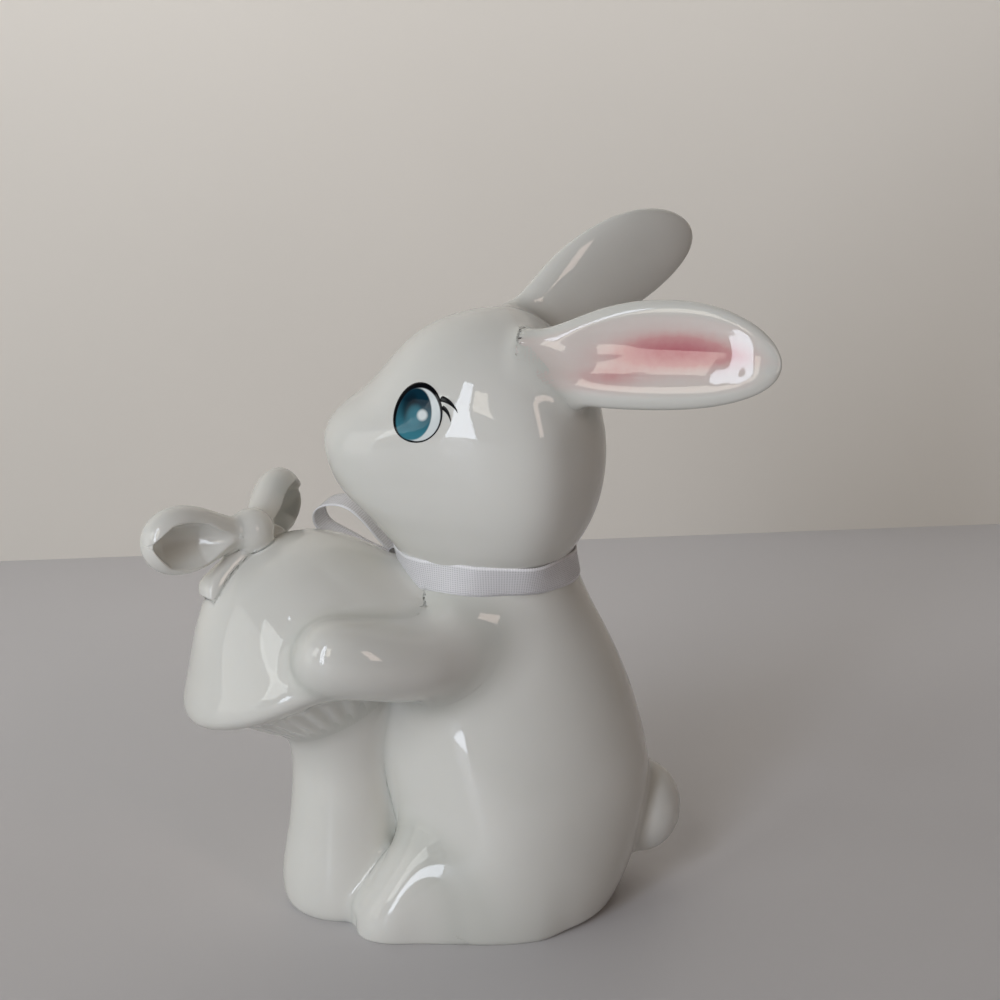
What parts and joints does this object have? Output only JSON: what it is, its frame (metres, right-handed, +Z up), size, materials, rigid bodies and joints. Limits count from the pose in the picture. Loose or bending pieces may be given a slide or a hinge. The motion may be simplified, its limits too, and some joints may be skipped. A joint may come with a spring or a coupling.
{
  "type": "ceramic rabbit figurine",
  "caption": "Glazed ceramic rabbit sitting upright with its arms round a mushroom that carries a clay bow, and a fabric ribbon tied round its neck.",
  "frame": {"origin": "on the floor plane under the middle of the seated body, at the centre of its flat base", "axes": "+Z up through the head, -X the way the rabbit faces, -Y the rabbit's left side"},
  "size_m": [0.1165, 0.0691, 0.1401],
  "materials": {
    "white_glaze": "high gloss clear glaze over white clay, with airbrushed pink inside the left ear",
    "eye_print": "glossy fired print in black, dark teal and white",
    "ribbon": "sheer silvery organza with a faint sparkle"
  },
  "bodies": {
    "root": {"body_casting": "white_glaze", "head_casting": "white_glaze", "left_ear": "white_glaze", "right_ear": "white_glaze", "left_eye_decal": "eye_print", "right_eye_decal": "eye_print", "left_arm": "white_glaze", "right_arm": "white_glaze", "left_foot": "white_glaze", "right_foot": "white_glaze", "tail": "white_glaze", "mushroom_stem": "white_glaze", "mushroom_cap": "white_glaze", "bow_knot": "white_glaze", "bow_left_loop": "white_glaze", "bow_right_loop": "white_glaze", "bow_left_tail": "white_glaze", "bow_right_tail": "white_glaze", "ribbon_collar": "ribbon", "ribbon_knot": "ribbon", "ribbon_left_loop": "ribbon", "ribbon_right_loop": "ribbon", "ribbon_upper_tail": "ribbon", "ribbon_lower_tail": "ribbon"}
  },
  "joints": []
}
